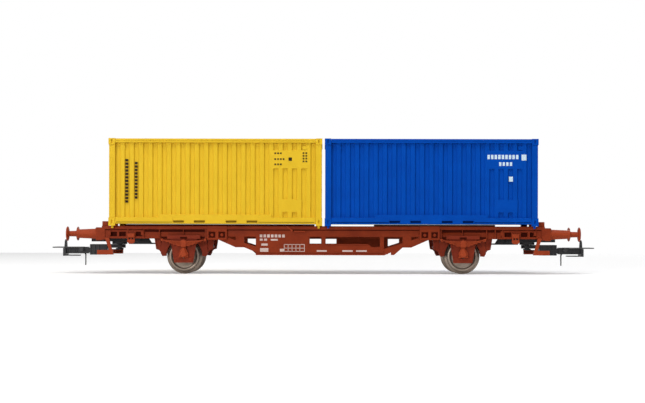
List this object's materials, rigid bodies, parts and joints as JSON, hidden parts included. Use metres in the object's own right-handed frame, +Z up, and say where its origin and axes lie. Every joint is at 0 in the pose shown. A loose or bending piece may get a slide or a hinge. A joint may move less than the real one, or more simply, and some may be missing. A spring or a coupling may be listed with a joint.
{
  "type": "scale model container flatcar",
  "caption": "Model railway flatcar on two axles, with a ribbed yellow container and a ribbed blue container side by side along its deck, buffers and loop couplers at both ends.",
  "frame": {"origin": "on the floor under the middle of the wagon", "axes": "+X along the wagon towards the blue container, +Y towards the far side, +Z up"},
  "size_m": [0.1804, 0.028, 0.0443],
  "materials": {
    "frame_plastic": "satin brown moulded plastic",
    "gear_plastic": "satin red-brown moulded plastic",
    "black_plastic": "satin black moulded plastic",
    "black_wire": "blackened steel wire",
    "wheel_metal": "turned metal wheel",
    "axle_steel": "turned steel",
    "ballast_steel": "plain steel sheet",
    "yellow_plastic": "satin yellow moulded plastic",
    "blue_plastic": "satin blue moulded plastic"
  },
  "bodies": {
    "wagon": {"deck": "frame_plastic", "centre_sill": "frame_plastic", "ballast_plate": "ballast_steel", "side_frame_near": "frame_plastic", "side_frame_far": "frame_plastic", "headstock_left": "frame_plastic", "headstock_right": "frame_plastic", "end_stops": "frame_plastic", "tie_down_brackets": "frame_plastic", "rope_hooks": "gear_plastic", "buffers_left": "gear_plastic", "buffers_right": "gear_plastic", "steps_left": "gear_plastic", "steps_right": "gear_plastic", "axle_guards_left": "gear_plastic", "axle_guards_right": "gear_plastic", "axleboxes_left": "gear_plastic", "axleboxes_right": "gear_plastic", "leaf_springs_left": "gear_plastic", "leaf_springs_right": "gear_plastic", "brake_gear_left": "gear_plastic", "brake_gear_right": "gear_plastic", "coupler_mount_left": "black_plastic", "coupler_mount_right": "black_plastic"},
    "wheelset_left": {"axle_left": "axle_steel", "wheels_left": "wheel_metal"},
    "wheelset_right": {"axle_right": "axle_steel", "wheels_right": "wheel_metal"},
    "coupler_left": {"coupler_pocket_left": "black_plastic", "coupler_head_left": "black_plastic"},
    "coupler_right": {"coupler_pocket_right": "black_plastic", "coupler_head_right": "black_plastic"},
    "loop_left": {"coupler_loop_left": "black_wire"},
    "loop_right": {"coupler_loop_right": "black_wire"},
    "yellow_container": {"yellow_container_front_frame": "yellow_plastic", "yellow_container_door_frame": "yellow_plastic", "yellow_container_side_rails": "yellow_plastic", "yellow_container_side_walls": "yellow_plastic", "yellow_container_front_wall": "yellow_plastic", "yellow_container_doors": "yellow_plastic", "yellow_container_roof": "yellow_plastic", "yellow_container_floor": "yellow_plastic"},
    "blue_container": {"blue_container_front_frame": "blue_plastic", "blue_container_door_frame": "blue_plastic", "blue_container_side_rails": "blue_plastic", "blue_container_side_walls": "blue_plastic", "blue_container_front_wall": "blue_plastic", "blue_container_doors": "blue_plastic", "blue_container_roof": "blue_plastic", "blue_container_floor": "blue_plastic"}
  },
  "joints": [
    {"name": "wheelset_left_roll", "type": "hinge", "parent": "wagon", "child": "wheelset_left", "pos_m": [-0.04565, 0, 0.00585], "axis": [0, 1, 0], "continuous": true},
    {"name": "wheelset_right_roll", "type": "hinge", "parent": "wagon", "child": "wheelset_right", "pos_m": [0.04565, 0, 0.00585], "axis": [0, 1, 0], "continuous": true},
    {"name": "coupler_left_swing", "type": "hinge", "parent": "wagon", "child": "coupler_left", "pos_m": [-0.0682, 0, 0.009], "axis": [0, 0, 1], "range_deg": [-10, 10]},
    {"name": "loop_left_lift", "type": "hinge", "parent": "coupler_left", "child": "loop_left", "pos_m": [-0.0805, 0, 0.00795], "axis": [0, 1, 0], "range_deg": [0, 20]},
    {"name": "coupler_right_swing", "type": "hinge", "parent": "wagon", "child": "coupler_right", "pos_m": [0.0682, 0, 0.009], "axis": [0, 0, 1], "range_deg": [-10, 10]},
    {"name": "loop_right_lift", "type": "hinge", "parent": "coupler_right", "child": "loop_right", "pos_m": [0.0805, 0, 0.00795], "axis": [0, -1, 0], "range_deg": [0, 20]},
    {"name": "yellow_container_lift", "type": "slide", "parent": "wagon", "child": "yellow_container", "axis": [0, 0, 1], "range_m": [0, 0.03]},
    {"name": "blue_container_lift", "type": "slide", "parent": "wagon", "child": "blue_container", "axis": [0, 0, 1], "range_m": [0, 0.03]}
  ]
}
